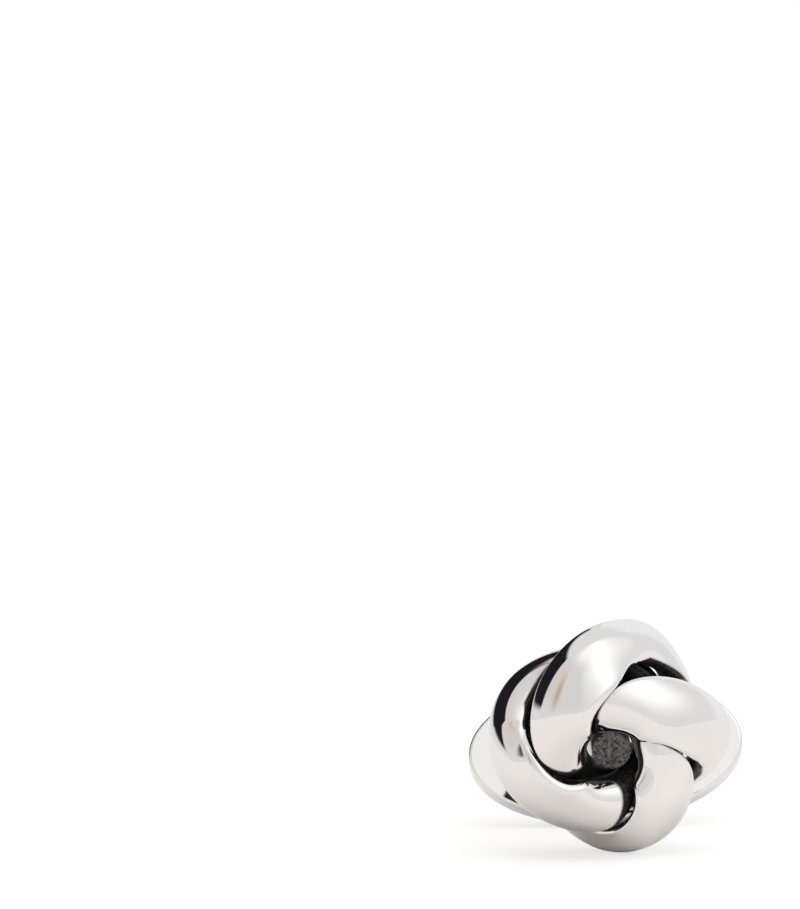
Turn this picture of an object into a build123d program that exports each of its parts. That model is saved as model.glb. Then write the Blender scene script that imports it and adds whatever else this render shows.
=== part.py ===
from build123d import *
from math import cos, radians, sin, sqrt, tan
import os

# Knot cufflink. Lengths in millimetres, angles in degrees, +Z up.
# The cufflink lies on a table as it rests by itself, on the knot and on the lower rim of the toggle.
# The knot faces -Y. The toggle stands behind it, with its long side along X.
# The origin is on the table, at the middle of the box around the whole cufflink.

# Path of a loop round the axis of the knot.
LOOP_COUNT = 4
LOOP_RING_RADIUS = 4.24
LOOP_SWING = 2.05
LOOP_OUTER_PULL = 0.02
LOOP_FRONT_RISE = 2.64
LOOP_BACK_RISE = 3.42
LOOP_CREST_SHARE = -0.07
LOOP_INNER_ADVANCE = 0.86
LOOP_TURN_LEAD = -22.5
LOOP_TURN_WAVE = -4.2
LOOP_TURN_SWAY = 26.4
LOOP_TURN_RIPPLE = -8.1
LOOP_TURN_FINE_WAVE = 1.6
LOOP_TURN_FINE_RIPPLE = 1.5
FIRST_LOOP_ANGLE = 259.3

# Section of the band that a loop is made of.
BAND_HALF_WIDTH = 1.55
BAND_OUTER_WIDENING = 0.15
BAND_FRONT_WIDENING = 0.24
BAND_CREST_WIDENING = 0.11
BAND_HALF_THICKNESS = 0.86
BAND_OUTER_THICKENING = -0.01
BAND_EDGE_RADIUS = 0.48
BAND_LEAN = -19.8
BAND_OUTER_LEAN = -15.3
BAND_FRONT_LEAN = 35.9

# Post, with the head that fills the middle of the knot and the eye for the pin.
POST_RADIUS = 0.8
NECK_BEND = 34.5
NECK_RADIUS = 4.5
KNOT_STANDOFF = 5.8
HEAD_RADIUS = 1.2
HEAD_FRONT = 1.2
EYE_RADIUS = 1.1
EYE_HALF_WIDTH = 0.9

# Toggle, with the two ears that hold the pin.
TOGGLE_HALF_LENGTH = 8.75
TOGGLE_HALF_WIDTH = 4.65
TOGGLE_THICKNESS = 2.5
TOGGLE_FRONT_ROUNDING = 0.2
TOGGLE_BACK_ROUNDING = 0.9
EAR_THICKNESS = 0.8
EAR_RADIUS = 1.1
EAR_SINK = 0.3

# Hinge between the toggle and the post.
PIN_RADIUS = 0.45
PIN_END_ROUNDING = 0.15
PIN_OVERHANG = 0.1
PIN_RUNNING_CLEARANCE = 0.05
PIN_SEAT_CLEARANCE = 0.02
EAR_SIDE_CLEARANCE = 0.1
EYE_TO_TOGGLE_CLEARANCE = 0.2
SWING_CLEARANCE = 0.5

# How the cufflink lies.
REST_ROLL = -4.0
REACH_STEP = 4

# A loop is lofted in two halves, one in front and one behind.
HALF_LOOP_SECTIONS = 19

# What follows from the sizes above.
PIN_HEIGHT = EYE_RADIUS + EYE_TO_TOGGLE_CLEARANCE
EYE_BORE_RADIUS = PIN_RADIUS + PIN_RUNNING_CLEARANCE
EAR_BORE_RADIUS = PIN_RADIUS + PIN_SEAT_CLEARANCE
EAR_INSIDE = EYE_HALF_WIDTH + EAR_SIDE_CLEARANCE
EAR_OUTSIDE = EAR_INSIDE + EAR_THICKNESS
KNOT_AXIS = Vector(0, -cos(radians(NECK_BEND)), -sin(radians(NECK_BEND)))


def toggle_reach():
    """How far the toggle, swung in line with the post, reaches along the axis of the knot."""
    along = TOGGLE_HALF_LENGTH * cos(radians(NECK_BEND))
    across = TOGGLE_HALF_WIDTH * sin(radians(NECK_BEND))
    return sqrt(along**2 + across**2)


def post_length():
    """From the pin to the corner where the lines of the post and of the knot's axis meet."""
    knot_back = knot_reach(Vector(0, 0, -1))
    needed = toggle_reach() + SWING_CLEARANCE + knot_back - KNOT_STANDOFF
    return needed / cos(radians(NECK_BEND))


def loop_point(turn, lead):
    """Centre of the band at an angle round its loop. Outermost at 0, frontmost at 90."""
    t = radians(turn)
    radius = LOOP_RING_RADIUS + LOOP_SWING * cos(t) + LOOP_OUTER_PULL * cos(2 * t)
    rise = LOOP_FRONT_RISE if sin(t) > 0 else LOOP_BACK_RISE
    height = rise * sin(t) * (1 + LOOP_CREST_SHARE * sin(t) ** 2) - LOOP_INNER_ADVANCE * cos(t)
    angle = lead + turn + LOOP_TURN_LEAD * sin(t) + LOOP_TURN_WAVE * sin(2 * t)
    angle += LOOP_TURN_SWAY * (cos(t) - 1) + LOOP_TURN_RIPPLE * (cos(2 * t) - 1)
    angle += LOOP_TURN_FINE_WAVE * sin(3 * t) + LOOP_TURN_FINE_RIPPLE * (cos(3 * t) - 1)
    return radius, height, radians(angle)


def on_axis_cylinder(radius, height, angle):
    return Vector(radius * cos(angle), radius * sin(angle), height)


def band_frame(turn, lead):
    """Plane across the band, with x along its width and y out of the knot."""
    step = 0.01
    before = loop_point(turn - step, lead)
    here = loop_point(turn, lead)
    after = loop_point(turn + step, lead)
    tangent = (on_axis_cylinder(*after) - on_axis_cylinder(*before)).normalized()
    outward = on_axis_cylinder(after[1] - before[1], before[0] - after[0], here[2])
    outward = (outward - tangent * outward.dot(tangent)).normalized()
    sideways = tangent.cross(outward)
    t = radians(turn)
    lean = radians(BAND_LEAN + BAND_OUTER_LEAN * cos(t) + BAND_FRONT_LEAN * sin(t))
    x_dir = sideways * cos(lean) - outward * sin(lean)
    return Plane(origin=on_axis_cylinder(*here), x_dir=x_dir, z_dir=x_dir.cross(outward))


def band_size(turn):
    """Half width and half thickness of the band."""
    t = radians(turn)
    widening = BAND_OUTER_WIDENING * cos(t) + BAND_FRONT_WIDENING * sin(t)
    widening -= BAND_CREST_WIDENING * cos(2 * t)
    thickening = BAND_OUTER_THICKENING * cos(t)
    return BAND_HALF_WIDTH * (1 + widening), BAND_HALF_THICKNESS * (1 + thickening)


def oval_broad_radius(half_width, half_height, edge_radius):
    """Radius of the two broad arcs that run smoothly into an oval's end arcs."""
    edge_centre = half_width - edge_radius
    return (edge_centre**2 + half_height**2 - edge_radius**2) / (2 * (half_height - edge_radius))


def oval_corner(half_width, half_height, edge_radius):
    """Where a broad arc of an oval meets an end arc."""
    edge_centre = half_width - edge_radius
    broad_radius = oval_broad_radius(half_width, half_height, edge_radius)
    share = edge_radius / (broad_radius - edge_radius)
    corner_x = edge_centre * (1 + share)
    corner_y = (broad_radius - half_height) * share
    return corner_x, corner_y


def band_section(turn, lead):
    """Outline of the band across its loop, in four arcs."""
    plane = band_frame(turn, lead)
    width, height = band_size(turn)
    corner_x, corner_y = oval_corner(width, height, BAND_EDGE_RADIUS)
    outline = [
        (corner_x, corner_y), (0, height), (-corner_x, corner_y), (-width, 0),
        (-corner_x, -corner_y), (0, -height), (corner_x, -corner_y), (width, 0),
    ]
    points = [plane.from_local_coords(Vector(x, y, 0)) for x, y in outline]
    arcs = []
    for first in range(0, len(points), 2):
        ends = (points[first], points[first + 1], points[(first + 2) % len(points)])
        arcs.append(Edge.make_three_point_arc(*ends))
    return Wire(arcs)


def half_loop(start, lead):
    turns = [start + 180 * i / (HALF_LOOP_SECTIONS - 1) for i in range(HALF_LOOP_SECTIONS)]
    return Solid.make_loft([band_section(turn, lead) for turn in turns])


def loop_lead(index):
    return FIRST_LOOP_ANGLE + 360 * index / LOOP_COUNT


def make_loop(index):
    front = half_loop(0, loop_lead(index))
    back = half_loop(180, loop_lead(index))
    skin = (front.faces() + back.faces()).filter_by(GeomType.PLANE, reverse=True)
    return Solid(Shell(skin))


def knot_centre():
    return Vector(0, -post_length(), 0) + KNOT_AXIS * KNOT_STANDOFF


def knot_plane():
    return Plane(origin=knot_centre(), x_dir=(1, 0, 0), z_dir=KNOT_AXIS)


def make_post():
    """Head, neck and eye. The pin's axis is the Z axis, and the toggle lies beyond it, at +Y."""
    head_front = knot_centre() + KNOT_AXIS * HEAD_FRONT
    line = FilletPolyline((0, 0, 0), (0, -post_length(), 0), knot_centre(), radius=NECK_RADIUS)
    neck = sweep(Plane(origin=line @ 0, z_dir=line % 0) * Circle(POST_RADIUS), path=line)
    head_back = -KNOT_STANDOFF + NECK_RADIUS * tan(radians(NECK_BEND / 2))
    head = extrude(Plane(origin=(0, 0, head_back)) * Circle(HEAD_RADIUS), HEAD_FRONT - head_back)
    eye = Cylinder(EYE_RADIUS, 2 * EYE_HALF_WIDTH)
    bore = Cylinder(EYE_BORE_RADIUS, 3 * EYE_HALF_WIDTH)
    return neck + knot_plane() * head + eye - bore


def make_toggle():
    """Oval plate with the ears on its near face. It is drawn face up and then stood on its edge."""
    plate = extrude(Ellipse(TOGGLE_HALF_LENGTH, TOGGLE_HALF_WIDTH), -TOGGLE_THICKNESS)
    plate = fillet(plate.edges().group_by(Axis.Z)[-1], TOGGLE_FRONT_ROUNDING)
    plate = fillet(plate.edges().group_by(Axis.Z)[0], TOGGLE_BACK_ROUNDING)
    foot_height = PIN_HEIGHT + EAR_SINK
    profile = Pos(0, (PIN_HEIGHT - EAR_SINK) / 2) * Rectangle(2 * EAR_RADIUS, foot_height)
    profile += Pos(0, PIN_HEIGHT) * Circle(EAR_RADIUS)
    profile -= Pos(0, PIN_HEIGHT) * Circle(EAR_BORE_RADIUS)
    toggle = plate
    for inside in (EAR_INSIDE, -EAR_OUTSIDE):
        ear_plane = Plane(origin=(0, inside + EAR_THICKNESS, 0), x_dir=(1, 0, 0), z_dir=(0, -1, 0))
        toggle += extrude(ear_plane * profile, EAR_THICKNESS)
    stand = Plane(origin=(0, PIN_HEIGHT, 0), x_dir=(1, 0, 0), z_dir=(0, -1, 0))
    return stand * toggle


def make_pin():
    pin = Cylinder(PIN_RADIUS, 2 * (EAR_OUTSIDE + PIN_OVERHANG))
    ends = pin.edges().filter_by(GeomType.CIRCLE)
    return fillet(ends, PIN_END_ROUNDING)


def oval_reach(half_width, half_height, x, y):
    """How far an oval reaches in the direction x, y of its plane."""
    edge_centre = half_width - BAND_EDGE_RADIUS
    broad_radius = oval_broad_radius(half_width, half_height, BAND_EDGE_RADIUS)
    size = sqrt(x**2 + y**2)
    if abs(y) * edge_centre > abs(x) * (broad_radius - half_height):
        return (half_height - broad_radius) * abs(y) + broad_radius * size
    return edge_centre * abs(x) + BAND_EDGE_RADIUS * size


def knot_reach(direction):
    """How far the loops reach from the middle of the knot, in a direction of the knot's own frame."""
    reaches = []
    for index in range(LOOP_COUNT):
        for turn in range(0, 360, REACH_STEP):
            plane = band_frame(turn, loop_lead(index))
            across = (plane.x_dir.dot(direction), plane.y_dir.dot(direction))
            reaches.append(plane.origin.dot(direction) + oval_reach(*band_size(turn), *across))
    return max(reaches)


def knot_drop(down):
    """How far the knot reaches down from the pin."""
    knot = knot_plane()
    local = Vector(down.dot(knot.x_dir), down.dot(knot.y_dir), down.dot(knot.z_dir))
    return knot.origin.dot(down) + knot_reach(local)


def toggle_drop(down):
    """How far the far rim of the toggle reaches in a direction, from the pin."""
    edge = sqrt((TOGGLE_HALF_LENGTH * down.X) ** 2 + (TOGGLE_HALF_WIDTH * down.Z) ** 2)
    back = PIN_HEIGHT + TOGGLE_THICKNESS - TOGGLE_BACK_ROUNDING
    ball = TOGGLE_BACK_ROUNDING * (1 - sqrt(down.X**2 + down.Z**2))
    return edge + back * down.Y + ball


def down_at(lean):
    """Where down is for a cufflink that is drawn upright and then leaned back and rolled."""
    back, roll = radians(lean), radians(REST_ROLL)
    return Vector(sin(roll), cos(roll) * sin(back), -cos(roll) * cos(back))


def rest_lean():
    """Lean at which the knot and the toggle both touch the table."""
    low, high = 0.0, 45.0
    while high - low > 0.001:
        middle = (low + high) / 2
        down = down_at(middle)
        if knot_drop(down) > toggle_drop(down):
            low = middle
        else:
            high = middle
    return (low + high) / 2


def main():
    os.makedirs("parts", exist_ok=True)
    pieces = {"post": make_post(), "toggle": make_toggle(), "hinge_pin": make_pin()}
    for index in range(LOOP_COUNT):
        pieces[f"loop_{index + 1}"] = knot_plane() * make_loop(index)
    lying = Rot(0, REST_ROLL, 0) * Rot(-rest_lean(), 0, 0)
    pieces = {name: lying * piece for name, piece in pieces.items()}
    boxes = [piece.bounding_box() for piece in pieces.values()]
    middle_x = (min(box.min.X for box in boxes) + max(box.max.X for box in boxes)) / 2
    middle_y = (min(box.min.Y for box in boxes) + max(box.max.Y for box in boxes)) / 2
    to_table = Pos(-middle_x, -middle_y, -min(box.min.Z for box in boxes))
    for name, piece in pieces.items():
        export_step(to_table * piece, f"parts/{name}.step")


main()
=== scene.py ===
import math

import bpy
import numpy as np
from mathutils import Matrix, Vector


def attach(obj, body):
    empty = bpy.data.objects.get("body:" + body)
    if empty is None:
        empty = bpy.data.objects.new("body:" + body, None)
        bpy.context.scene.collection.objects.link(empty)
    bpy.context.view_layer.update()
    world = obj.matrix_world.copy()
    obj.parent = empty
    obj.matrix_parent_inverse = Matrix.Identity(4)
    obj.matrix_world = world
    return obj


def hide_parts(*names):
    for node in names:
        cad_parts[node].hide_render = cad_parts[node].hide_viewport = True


# Knot cufflink in polished silver, lying on a white table. Lengths are in metres, but the sizes
# and places of the knot are in millimetres, as in the part's source. Angles are in degrees.
MM = 0.001

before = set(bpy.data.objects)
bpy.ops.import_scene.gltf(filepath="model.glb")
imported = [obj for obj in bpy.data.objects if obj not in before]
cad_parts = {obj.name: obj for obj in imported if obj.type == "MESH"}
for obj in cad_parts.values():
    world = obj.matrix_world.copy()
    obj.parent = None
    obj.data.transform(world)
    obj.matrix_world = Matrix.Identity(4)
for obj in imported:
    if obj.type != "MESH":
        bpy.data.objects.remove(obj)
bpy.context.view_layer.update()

# Loops of the knot, with the sizes of the part's source.
LOOP_COUNT = 4
LOOP_RING_RADIUS = 4.24
LOOP_SWING = 2.05
LOOP_OUTER_PULL = 0.02
LOOP_FRONT_RISE = 2.64
LOOP_BACK_RISE = 3.42
LOOP_CREST_SHARE = -0.07
LOOP_INNER_ADVANCE = 0.86
LOOP_TURN_LEAD = -22.5
LOOP_TURN_WAVE = -4.2
LOOP_TURN_SWAY = 26.4
LOOP_TURN_RIPPLE = -8.1
LOOP_TURN_FINE_WAVE = 1.6
LOOP_TURN_FINE_RIPPLE = 1.5
FIRST_LOOP_ANGLE = 259.3
BAND_HALF_WIDTH = 1.55
BAND_OUTER_WIDENING = 0.15
BAND_FRONT_WIDENING = 0.24
BAND_CREST_WIDENING = 0.11
BAND_HALF_THICKNESS = 0.86
BAND_OUTER_THICKENING = -0.01
BAND_EDGE_RADIUS = 0.48
BAND_LEAN = -19.8
BAND_OUTER_LEAN = -15.3
BAND_FRONT_LEAN = 35.9

# Where the knot lies: its middle, how far it faces down, and its roll on the table.
KNOT_CENTRE = (-0.162, -7.025, 7.008)
KNOT_NOD = 14.11
REST_ROLL = -4.0

# How far one edge of each band reaches over the next band, so that their seam is closed. The reach
# is full at one turn of the loop, and starts at a share of the band's half width.
SEAM_REACHES = (0.12, 0.28, 0.5, 0.4)
SEAM_TURN = 45
SEAM_HALF_TURN = 50
SEAM_START = 0.4

# Fineness of the bands: places round a loop and round its section, and the step that finds a slope.
LOOP_STEPS = 400
SECTION_STEPS = 96
SLOPE_STEP = 1e-4

# Where a band is painted dark: partly tarnish, and partly painted shade and a painted dark reflection
# where the band lies in the knot's gaps and hollows. Turn 0 of a loop is its outermost place, 90 its front
# and 180 its innermost. The angle round its section is 0 and 180 at the edges and 90 on the outer face.
# The darkening fades in over a few degrees, and runs out along the loop over more.
TARNISH_AND_SHADE_FADE = 5
TARNISH_AND_SHADE_RUN_OUT = 25
# Faces that look into the knot are painted dark, as tarnish and as painted shade, from none at one share
# of the half thickness to full at another. They stay bright round one turn, where the knot is open.
TARNISH_AND_SHADE_START = -0.2
TARNISH_AND_SHADE_END = -0.6
OPEN_GAP_TURN = 220
OPEN_GAP_HALF = 14
# The whole section is painted dark where a band dives into the knot: painted shade. The turn differs by
# band.
INNER_END_TURNS = (138, 127, 112, 110)
INNER_END_BULGE = 40
INNER_END_LAST_TURN = 245
# The edge of the outer face is painted dark where it stands over the next band: painted shade and a
# painted dark reflection of the gap between them.
OUTER_EDGE_ANGLES = (148, 127, 148, 148)
OUTER_EDGE_SLOPE = 1.2
OUTER_EDGE_SLOPE_START = -20
OUTER_EDGE_TURNS = (-85, 40)

# Polish of each piece, and the scales of its noises per metre.
KNOT_FINISH = {"colour": (0.955, 0.945, 0.94), "roughness": 0.035, "wave": 0.12}
TOGGLE_FINISH = {"colour": (0.955, 0.945, 0.94), "roughness": 0.03, "wave": 0.08}
PIN_FINISH = {"colour": (0.90, 0.89, 0.88), "roughness": 0.08, "wave": 0.1}
POST_FINISH = {"colour": (0.94, 0.93, 0.92), "roughness": 0.05, "wave": 0.1}
CLOUD_SCALE = 450.0
CLOUD_DETAIL = 3.0
CLOUD_DARKENING = 0.965
WEAR_SCALE = 5200.0
WEAR_RANGE = (0.35, 0.75)
WEAR_ROUGHENING = 1.8
WAVE_HEIGHT = 0.01 * MM
EDGE_SOFTNESS = 0.06 * MM
EDGE_SAMPLES = 4

# Dark rough colours on the bands, partly tarnish and partly painted shade. Dark rough colours on the core
# of the post in the middle of the knot, partly its unpolished metal and partly painted shade of the hole.
TARNISH_AND_SHADE_COLOURS = ((0.010, 0.010, 0.011), (0.09, 0.088, 0.086))
CORE_GRAIN_AND_SHADE_COLOURS = ((0.02, 0.021, 0.022), (0.30, 0.305, 0.305))
CORE_BEHIND_MIDDLE = (2.5 * MM, 1.5 * MM)
GRAIN_SCALE = 5200.0
GRAIN_DETAIL = 6.0
GRAIN_BREAK_UP = 0.7
GRAIN_RANGE = (0.38, 0.68)
GRAIN_ROUGHNESS = 0.5
GRAIN_HEIGHT = 2.0

# Table: warm white where the silver mirrors it, and a plain bright ground to the camera.
MIRRORED_CLOTH = ((0.90, 0.865, 0.85), (0.885, 0.85, 0.835))
SEEN_CLOTH = ((0.90, 0.89, 0.89), (0.885, 0.875, 0.875))
CLOTH_SCALE = 60.0
TABLE_HALF_SIZE = 3.0
SEEN_GLOW = 0.66
SHADOW_SHARE = 0.47

# Studio: a light tent. Each layer is a window of azimuth and elevation, with soft sides. Azimuth 0
# is where the photograph was taken from, and 90 is to the right of the cufflink.
TENT_COLOUR = (0.76, 0.755, 0.745)
TABLE_LIGHT = 1.41
BACKDROP_STRENGTH = 1.1
STUDIO_LAYERS = {
    "front_wall": {
        "azimuth": (-92, -22), "elevation": (4, 60), "soft": (6, 16), "colour": (0.69, 0.68, 0.655)},
    "warm_card": {
        "azimuth": (-90, -62), "elevation": (16, 52), "soft": (4, 10), "colour": (0.68, 0.62, 0.565)},
    "stand": {
        "azimuth": (-71, -63), "elevation": (12, 40), "soft": (6, 12), "colour": (0.42, 0.37, 0.32)},
    "overhead": {
        "azimuth": (-70, 85), "elevation": (66, 95), "soft": (25, 10), "colour": (1.03, 1.025, 1.01)},
    "soft_box": {
        "azimuth": (-3, 82), "elevation": (26, 95), "soft": (26, 18), "colour": (1.09, 1.08, 1.06)},
    "side_wall": {
        "azimuth": (118, 190), "elevation": (-2, 62), "soft": (8, 8), "colour": (0.87, 0.868, 0.88)},
    "screen": {
        "azimuth": (-166, -93), "elevation": (8, 54), "soft": (2, 3), "colour": (0.012, 0.012, 0.016)},
}

# Camera: the photograph's view of this cufflink, on the right of the frame and below its middle.
CAMERA_AZIMUTH = -1.81
CAMERA_ELEVATION = 6.84
CAMERA_ROLL = -0.43
CAMERA_DISTANCE = 0.400
CAMERA_CLIPS = (0.01, 100.0)
PIXEL_AT_KNOT = 0.0616 * MM
PICTURE_WIDTH, PICTURE_HEIGHT = 800, 909
KNOT_MIDDLE = Vector((-0.186, -6.530, 7.342)) * MM
KNOT_MIDDLE_PIXEL = (610.1, 737.2)


# Shape of the knot

def knot_directions():
    """The knot's own right, up and front, as the part's source turns them."""
    nod, roll = math.radians(KNOT_NOD), math.radians(REST_ROLL)
    right = (math.cos(roll), 0.0, -math.sin(roll))
    up = (math.cos(nod) * math.sin(roll), -math.sin(nod), math.cos(nod) * math.cos(roll))
    front = (-math.sin(nod) * math.sin(roll), -math.cos(nod), -math.sin(nod) * math.cos(roll))
    return np.array([right, up, front])


def in_place(points):
    """From the knot's own frame in millimetres to the shared frame in metres."""
    return (np.array(KNOT_CENTRE) + points @ knot_directions()) * MM


def loop_path(turn, lead):
    """Radius, height and angle of the middle of the band, at turns round the loop in radians."""
    radius = LOOP_RING_RADIUS + LOOP_SWING * np.cos(turn) + LOOP_OUTER_PULL * np.cos(2 * turn)
    rise = np.where(np.sin(turn) > 0, LOOP_FRONT_RISE, LOOP_BACK_RISE)
    height = rise * np.sin(turn) * (1 + LOOP_CREST_SHARE * np.sin(turn) ** 2)
    height -= LOOP_INNER_ADVANCE * np.cos(turn)
    angle = lead + np.degrees(turn) + LOOP_TURN_LEAD * np.sin(turn) + LOOP_TURN_WAVE * np.sin(2 * turn)
    angle += LOOP_TURN_SWAY * (np.cos(turn) - 1) + LOOP_TURN_RIPPLE * (np.cos(2 * turn) - 1)
    angle += LOOP_TURN_FINE_WAVE * np.sin(3 * turn) + LOOP_TURN_FINE_RIPPLE * (np.cos(3 * turn) - 1)
    return radius, height, np.radians(angle)


def from_axis(radius, height, angle):
    return np.stack([radius * np.cos(angle), radius * np.sin(angle), height], axis=-1)


def unit(vectors):
    return vectors / np.linalg.norm(vectors, axis=-1, keepdims=True)


def band_size(turn):
    """Half width and half thickness of the band."""
    widening = BAND_OUTER_WIDENING * np.cos(turn) + BAND_FRONT_WIDENING * np.sin(turn)
    widening -= BAND_CREST_WIDENING * np.cos(2 * turn)
    thickening = BAND_OUTER_THICKENING * np.cos(turn)
    return BAND_HALF_WIDTH * (1 + widening), BAND_HALF_THICKNESS * (1 + thickening)


def band_frame(turn, lead):
    """Middle of the band, and the directions along its width and out of the knot."""
    before, here, after = (loop_path(turn + step, lead) for step in (-SLOPE_STEP, 0, SLOPE_STEP))
    tangent = unit(from_axis(*after) - from_axis(*before))
    outward = from_axis(after[1] - before[1], before[0] - after[0], here[2])
    outward = unit(outward - tangent * (outward * tangent).sum(-1, keepdims=True))
    sideways = np.cross(tangent, outward)
    lean = np.radians(BAND_LEAN + BAND_OUTER_LEAN * np.cos(turn) + BAND_FRONT_LEAN * np.sin(turn))[:, None]
    across = sideways * np.cos(lean) - outward * np.sin(lean)
    out = outward * np.cos(lean) + sideways * np.sin(lean)
    return from_axis(*here), across, out


def oval_outline(width, height):
    """Points round the band's section: two broad arcs that run into two round edges."""
    edge_middle = width - BAND_EDGE_RADIUS
    broad = (edge_middle**2 + height**2 - BAND_EDGE_RADIUS**2) / (2 * (height - BAND_EDGE_RADIUS))
    joint = np.arctan2(broad - height, edge_middle)
    across, out = [], []
    for step in range(SECTION_STEPS):
        quarter, share = divmod(4 * step / SECTION_STEPS, 1)
        share = share if quarter % 2 == 0 else 1 - share
        if share < 0.5:
            angle = joint * 2 * share
            x, y = edge_middle + BAND_EDGE_RADIUS * np.cos(angle), BAND_EDGE_RADIUS * np.sin(angle)
        else:
            angle = joint + (np.pi / 2 - joint) * (2 * share - 1)
            x, y = broad * np.cos(angle), height - broad + broad * np.sin(angle)
        across.append(x if quarter in (0, 3) else -x)
        out.append(y if quarter in (0, 1) else -y)
    return np.stack(across, axis=-1), np.stack(out, axis=-1)


def seam_reach(turn, across, reach):
    """How far points move over the next band. Across is their place as a share of the half width."""
    past_seam = np.clip((np.degrees(turn) - SEAM_TURN) / SEAM_HALF_TURN, -1, 1)
    toward_edge = np.clip((-across - SEAM_START) / (1 - SEAM_START), 0, 1)
    return (reach * np.cos(past_seam * np.pi / 2) ** 2)[:, None] * toward_edge**2


def tarnish_and_shade_of(turn, across, out, inner_end, outer_edge):
    """Share of tarnish and painted shade: 1 where a band faces the inside of the knot, dives into it, or
    stands close over the next band.

    Across and out are the points' places as shares of the half width and half thickness.
    """
    section = np.degrees(np.arctan2(out, across)) % 360
    inside = (out - TARNISH_AND_SHADE_START) / (TARNISH_AND_SHADE_END - TARNISH_AND_SHADE_START)
    degree = np.degrees(turn)[:, None]
    inside = np.minimum(inside, (abs(degree - OPEN_GAP_TURN) - OPEN_GAP_HALF) / TARNISH_AND_SHADE_FADE)
    past_end = (degree - inner_end - INNER_END_BULGE * np.sin(np.radians(section))) / TARNISH_AND_SHADE_FADE
    past_end = np.minimum(past_end, (INNER_END_LAST_TURN - degree) / TARNISH_AND_SHADE_RUN_OUT)
    degree = (degree + 180) % 360 - 180
    edge = outer_edge + OUTER_EDGE_SLOPE * np.maximum(degree - OUTER_EDGE_SLOPE_START, 0)
    run_out = np.minimum(degree - OUTER_EDGE_TURNS[0], OUTER_EDGE_TURNS[1] - degree) / TARNISH_AND_SHADE_RUN_OUT
    over_next = np.minimum((section - edge) / TARNISH_AND_SHADE_FADE, run_out)
    return np.clip(np.maximum(inside, np.maximum(past_end, over_next)), 0, 1)


def loop_mesh(index):
    """A closed smooth band as a grid of four-sided faces, and how dark each of its points is painted, as
    tarnish and as painted shade.
    """
    turn = np.linspace(0, 2 * np.pi, LOOP_STEPS, endpoint=False)
    middle, across, out = band_frame(turn, FIRST_LOOP_ANGLE + 360 * index / LOOP_COUNT)
    width, height = band_size(turn)
    x, y = oval_outline(width, height)
    x_share, y_share = x / width[:, None], y / height[:, None]
    tarnish_and_shade = tarnish_and_shade_of(turn, x_share, y_share, INNER_END_TURNS[index], OUTER_EDGE_ANGLES[index])
    x = x - seam_reach(turn, x_share, SEAM_REACHES[index])
    points = middle[:, None] + x[..., None] * across[:, None] + y[..., None] * out[:, None]
    faces = []
    for i in range(LOOP_STEPS):
        here, there = i * SECTION_STEPS, (i + 1) % LOOP_STEPS * SECTION_STEPS
        for j in range(SECTION_STEPS):
            k = (j + 1) % SECTION_STEPS
            faces.append((here + j, there + j, there + k, here + k))
    return in_place(points.reshape(-1, 3)), faces, tarnish_and_shade.ravel()


def new_piece(name, vertices, faces, material, body):
    mesh = bpy.data.meshes.new(name)
    mesh.from_pydata([tuple(v) for v in vertices], [], faces)
    mesh.validate()
    mesh.polygons.foreach_set("use_smooth", [True] * len(mesh.polygons))
    mesh.materials.append(material)
    piece = bpy.data.objects.new(name, mesh)
    bpy.context.scene.collection.objects.link(piece)
    if body:
        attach(piece, body)
    return piece


# Shader nodes. Each helper takes sockets or plain values and gives the output of a new node.

def node_tree(block):
    """The emptied node tree of a material or a world."""
    block.use_nodes = True
    block.node_tree.nodes.clear()
    return block.node_tree


def feed(tree, socket, value):
    if isinstance(value, bpy.types.NodeSocket):
        tree.links.new(value, socket)
    else:
        socket.default_value = value


def mixed_colour(tree, share, first, second):
    node = tree.nodes.new("ShaderNodeMixRGB")
    feed(tree, node.inputs[0], share)
    for socket, colour in zip(node.inputs[1:], (first, second)):
        feed(tree, socket, colour if isinstance(colour, bpy.types.NodeSocket) else (*colour, 1))
    return node.outputs[0]


def mixed_shader(tree, share, first, second):
    node = tree.nodes.new("ShaderNodeMixShader")
    for socket, value in zip(node.inputs, (share, first, second)):
        feed(tree, socket, value)
    return node.outputs[0]


def computed(tree, kind, *values):
    node = tree.nodes.new("ShaderNodeMath")
    node.operation = kind
    for socket, value in zip(node.inputs, values):
        feed(tree, socket, value)
    return node.outputs[0]


def ramped(tree, value, low, high, out_low=0.0, out_high=1.0):
    node = tree.nodes.new("ShaderNodeMapRange")
    node.interpolation_type = "SMOOTHSTEP"
    limits = {"From Min": low, "From Max": high, "To Min": out_low, "To Max": out_high}
    for socket, limit in limits.items():
        node.inputs[socket].default_value = limit
    tree.links.new(value, node.inputs["Value"])
    return node.outputs[0]


def window(tree, value, edges, soft):
    """1 between two edges, with soft sides."""
    inside = ramped(tree, value, edges[0] - soft, edges[0] + soft)
    past = ramped(tree, value, edges[1] - soft, edges[1] + soft)
    return computed(tree, "MULTIPLY", inside, computed(tree, "SUBTRACT", 1.0, past))


def noise(tree, scale, detail=2.0, roughness=0.5):
    node = tree.nodes.new("ShaderNodeTexNoise")
    node.inputs["Scale"].default_value = scale
    node.inputs["Detail"].default_value = detail
    node.inputs["Roughness"].default_value = roughness
    place = tree.nodes.new("ShaderNodeTexCoord")
    tree.links.new(place.outputs["Object"], node.inputs["Vector"])
    return node.outputs["Fac"]


# Materials

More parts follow.
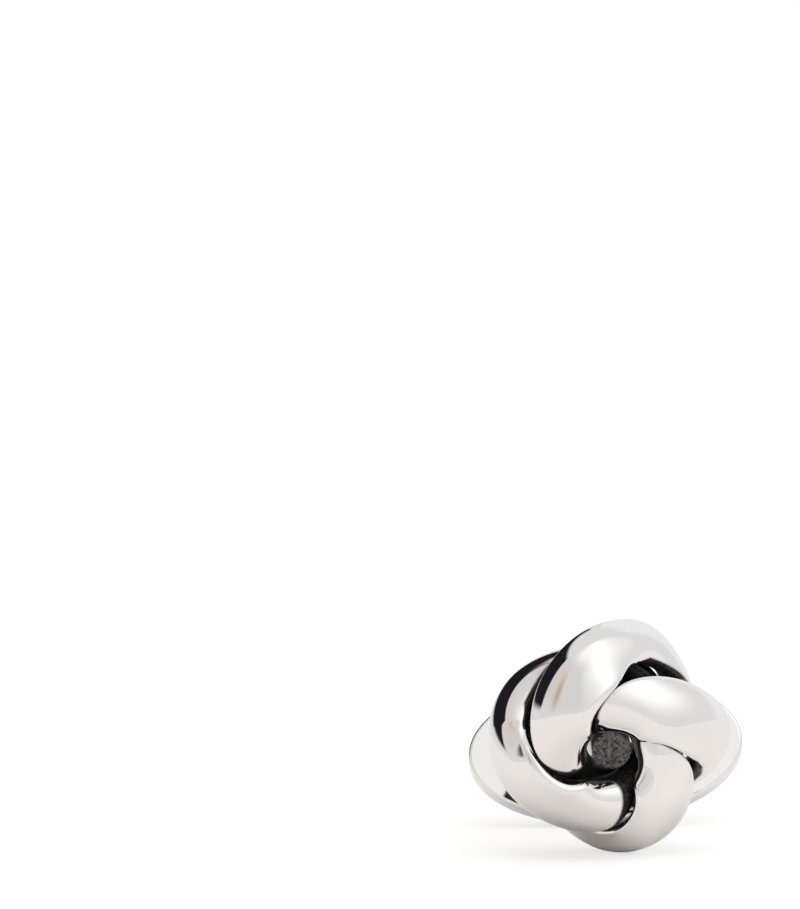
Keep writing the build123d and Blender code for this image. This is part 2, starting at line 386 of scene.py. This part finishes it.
def silver(name, finish, edge=0.0, mask=None, shades=()):
    """Polished silver, faintly cloudy and waved. Where the mask is 1 it is rough metal in two dark
    colours, partly its own tone and partly painted shade.
    """
    material = bpy.data.materials.new(name)
    tree = node_tree(material)
    cloud = noise(tree, CLOUD_SCALE, CLOUD_DETAIL)
    colour = mixed_colour(tree, cloud, finish["colour"], [c * CLOUD_DARKENING for c in finish["colour"]])
    rough = ramped(tree, noise(tree, WEAR_SCALE), *WEAR_RANGE,
                   finish["roughness"], finish["roughness"] * WEAR_ROUGHENING)
    height = cloud
    if mask:
        colour, rough, height = grain_and_painted_shade(tree, mask(tree), shades, colour, rough, height)
    bump = tree.nodes.new("ShaderNodeBump")
    bump.inputs["Strength"].default_value = finish["wave"]
    bump.inputs["Distance"].default_value = WAVE_HEIGHT
    tree.links.new(height, bump.inputs["Height"])
    if edge:
        softened = tree.nodes.new("ShaderNodeBevel")
        softened.samples = EDGE_SAMPLES
        softened.inputs["Radius"].default_value = edge
        tree.links.new(softened.outputs[0], bump.inputs["Normal"])
    shader = tree.nodes.new("ShaderNodeBsdfPrincipled")
    shader.inputs["Metallic"].default_value = 1.0
    tree.links.new(colour, shader.inputs["Base Color"])
    tree.links.new(rough, shader.inputs["Roughness"])
    tree.links.new(bump.outputs[0], shader.inputs["Normal"])
    out = tree.nodes.new("ShaderNodeOutputMaterial")
    tree.links.new(shader.outputs[0], out.inputs[0])
    return material


def grain_and_painted_shade(tree, share, shades, colour, rough, height):
    """Colour, roughness and height with a dark grain where the share is 1: rough metal, whose dark colours
    are partly painted shade.
    """
    grain = noise(tree, GRAIN_SCALE, GRAIN_DETAIL, GRAIN_BREAK_UP)
    ramp = tree.nodes.new("ShaderNodeValToRGB")
    for element, position, shade in zip(ramp.color_ramp.elements, GRAIN_RANGE, shades):
        element.position = position
        element.color = (*shade, 1)
    tree.links.new(grain, ramp.inputs[0])
    raised = computed(tree, "MULTIPLY", computed(tree, "MULTIPLY", grain, share), GRAIN_HEIGHT)
    return (mixed_colour(tree, share, colour, ramp.outputs[0]),
            computed(tree, "MAXIMUM", rough, computed(tree, "MULTIPLY", share, GRAIN_ROUGHNESS)),
            computed(tree, "ADD", height, raised))


# Share of tarnish and painted shade on the bands, stored on their points.
def tarnish_and_shade_mask(tree):
    node = tree.nodes.new("ShaderNodeAttribute")
    node.attribute_name = "tarnish_and_shade"
    return node.outputs["Fac"]


def shaded_core_mask(tree):
    """1 on the part of the post that lies inside the knot, by its place along the knot's axis. There the
    post is painted dark: rough metal and painted shade of the hole.
    """
    place = tree.nodes.new("ShaderNodeNewGeometry")
    along = tree.nodes.new("ShaderNodeVectorMath")
    along.operation = "DOT_PRODUCT"
    front = knot_directions()[2]
    along.inputs[1].default_value = front
    tree.links.new(place.outputs["Position"], along.inputs[0])
    middle = float(np.dot(front, KNOT_CENTRE)) * MM
    return ramped(tree, along.outputs["Value"], *(middle - behind for behind in CORE_BEHIND_MIDDLE))


def cloth(tree, shades):
    shader = tree.nodes.new("ShaderNodeBsdfDiffuse")
    tree.links.new(mixed_colour(tree, noise(tree, CLOTH_SCALE), *shades), shader.inputs["Color"])
    return shader.outputs[0]


# Cufflink, table, studio and camera

def make_cufflink():
    knot_silver = silver("KnotSilver", KNOT_FINISH, 0.0, tarnish_and_shade_mask, TARNISH_AND_SHADE_COLOURS)
    toggle_silver = silver("ToggleSilver", TOGGLE_FINISH, EDGE_SOFTNESS)
    pin_silver = silver("PinSilver", PIN_FINISH, EDGE_SOFTNESS)
    # The post's core inside the knot is painted dark: rough metal and painted shade of the hole.
    post_silver = silver("PostSilver", POST_FINISH, EDGE_SOFTNESS, shaded_core_mask, CORE_GRAIN_AND_SHADE_COLOURS)
    for index in range(LOOP_COUNT):
        vertices, faces, tarnish_and_shade = loop_mesh(index)
        band = new_piece(f"band_{index + 1}", vertices, faces, knot_silver, "knot")
        # Share of tarnish and painted shade at each point of the band.
        layer = band.data.attributes.new("tarnish_and_shade", "FLOAT", "POINT")
        layer.data.foreach_set("value", tarnish_and_shade.astype(np.float32))
        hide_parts(f"loop_{index + 1}")
    for node, material in (("post", post_silver), ("toggle", toggle_silver), ("hinge_pin", pin_silver)):
        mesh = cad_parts[node].data
        mesh.materials.clear()
        mesh.materials.append(material)


def make_table():
    material = bpy.data.materials.new("Table")
    tree = node_tree(material)
    glow = tree.nodes.new("ShaderNodeEmission")
    glow.inputs["Strength"].default_value = SEEN_GLOW / (1 - SHADOW_SHARE)
    seen = mixed_shader(tree, SHADOW_SHARE, glow.outputs[0], cloth(tree, SEEN_CLOTH))
    path = tree.nodes.new("ShaderNodeLightPath")
    either = mixed_shader(tree, path.outputs["Is Camera Ray"], cloth(tree, MIRRORED_CLOTH), seen)
    out = tree.nodes.new("ShaderNodeOutputMaterial")
    tree.links.new(either, out.inputs[0])
    half = TABLE_HALF_SIZE
    corners = [(-half, -half, 0), (half, -half, 0), (half, half, 0), (-half, half, 0)]
    new_piece("table", corners, [(0, 1, 2, 3)], material, None)


def tent_colour(tree):
    """Colour of the light tent, by the direction that a ray takes."""
    place = tree.nodes.new("ShaderNodeTexCoord")
    parts = tree.nodes.new("ShaderNodeSeparateXYZ")
    tree.links.new(place.outputs["Generated"], parts.inputs[0])
    forward = computed(tree, "MULTIPLY", parts.outputs["Y"], -1.0)
    azimuth = computed(tree, "DEGREES", computed(tree, "ARCTAN2", parts.outputs["X"], forward))
    elevation = computed(tree, "DEGREES", computed(tree, "ARCSINE", parts.outputs["Z"]))
    tent = TENT_COLOUR
    for layer in STUDIO_LAYERS.values():
        share = computed(tree, "MULTIPLY", window(tree, azimuth, layer["azimuth"], layer["soft"][0]),
                         window(tree, elevation, layer["elevation"], layer["soft"][1]))
        tent = mixed_colour(tree, share, tent, layer["colour"])
    return tent


def make_studio():
    """The tent for reflections, the same but brighter for the table, and plain white to the camera."""
    world = bpy.data.worlds.new("Studio")
    bpy.context.scene.world = world
    tree = node_tree(world)
    path = tree.nodes.new("ShaderNodeLightPath")
    seen = tree.nodes.new("ShaderNodeBackground")
    seen.inputs["Color"].default_value = (1, 1, 1, 1)
    seen.inputs["Strength"].default_value = BACKDROP_STRENGTH
    lit = tree.nodes.new("ShaderNodeBackground")
    strength = ramped(tree, path.outputs["Is Diffuse Ray"], 0.0, 1.0, 1.0, TABLE_LIGHT)
    tree.links.new(tent_colour(tree), lit.inputs["Color"])
    tree.links.new(strength, lit.inputs["Strength"])
    out = tree.nodes.new("ShaderNodeOutputWorld")
    either = mixed_shader(tree, path.outputs["Is Camera Ray"], lit.outputs[0], seen.outputs[0])
    tree.links.new(either, out.inputs[0])


def make_camera():
    azimuth, elevation = math.radians(CAMERA_AZIMUTH), math.radians(CAMERA_ELEVATION)
    forward = Vector((-math.sin(azimuth) * math.cos(elevation), math.cos(azimuth) * math.cos(elevation),
                      -math.sin(elevation)))
    right = Vector((math.cos(azimuth), math.sin(azimuth), 0))
    up = right.cross(forward)
    roll = Matrix.Rotation(math.radians(-CAMERA_ROLL), 3, forward)
    right, up = roll @ right, roll @ up
    offset_x = (KNOT_MIDDLE_PIXEL[0] - PICTURE_WIDTH / 2) * PIXEL_AT_KNOT / CAMERA_DISTANCE
    offset_y = (PICTURE_HEIGHT / 2 - KNOT_MIDDLE_PIXEL[1]) * PIXEL_AT_KNOT / CAMERA_DISTANCE
    aim = (forward - right * offset_x - up * offset_y).normalized()
    side = (right - aim * right.dot(aim)).normalized()
    turned = Matrix((side, side.cross(aim), -aim)).transposed().to_4x4()
    data = bpy.data.cameras.new("Camera")
    data.sensor_fit = "HORIZONTAL"
    data.angle = 2 * math.atan(PICTURE_WIDTH / 2 * PIXEL_AT_KNOT / CAMERA_DISTANCE)
    data.clip_start, data.clip_end = CAMERA_CLIPS
    camera = bpy.data.objects.new("Camera", data)
    bpy.context.scene.collection.objects.link(camera)
    camera.matrix_world = Matrix.Translation(KNOT_MIDDLE - forward * CAMERA_DISTANCE) @ turned
    bpy.context.scene.camera = camera


make_cufflink()
make_table()
make_studio()
make_camera()
bpy.context.scene.view_settings.view_transform = "Standard"
